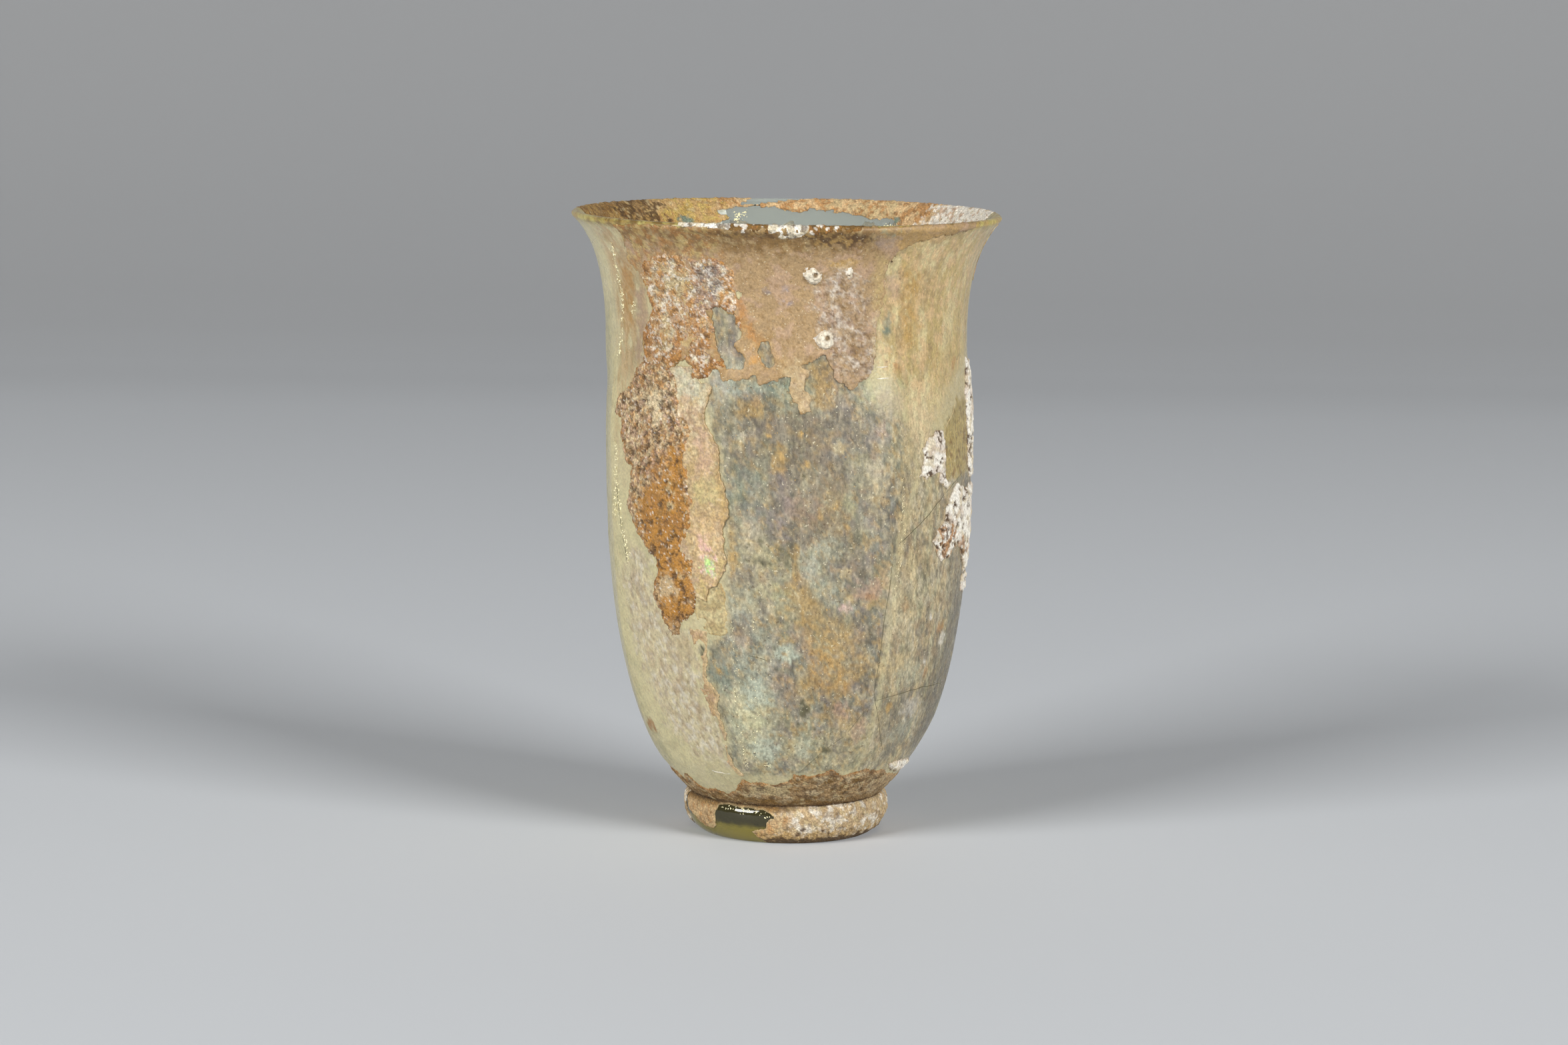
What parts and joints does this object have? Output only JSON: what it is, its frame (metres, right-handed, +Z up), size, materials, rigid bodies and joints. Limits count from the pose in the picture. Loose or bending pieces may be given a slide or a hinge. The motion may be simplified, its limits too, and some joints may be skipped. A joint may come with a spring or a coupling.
{
  "type": "glass drinking beaker",
  "caption": "Ancient blown glass beaker with a flaring mouth, a tall round body with soft upright dents, and a ring foot, weathered and crusted.",
  "frame": {"origin": "on the ground under the middle of the mouth", "axes": "+Z up through the mouth; +Y away from the viewer of the picture; +X to the viewer's right"},
  "size_m": [0.08, 0.08, 0.1165],
  "materials": {
    "weathered_glass": "pale olive glass frosted by age, cloudy and mottled, with thin shiny iridescent films",
    "soil_crust": "granular brown soil crust with amber and dark grains",
    "lime_crust": "chalky white lime deposit with dark pits",
    "flaking_film": "thin tan and cream weathering film with a silky sheen and ragged edges"
  },
  "bodies": {
    "root": {"beaker": "weathered_glass"}
  },
  "joints": []
}
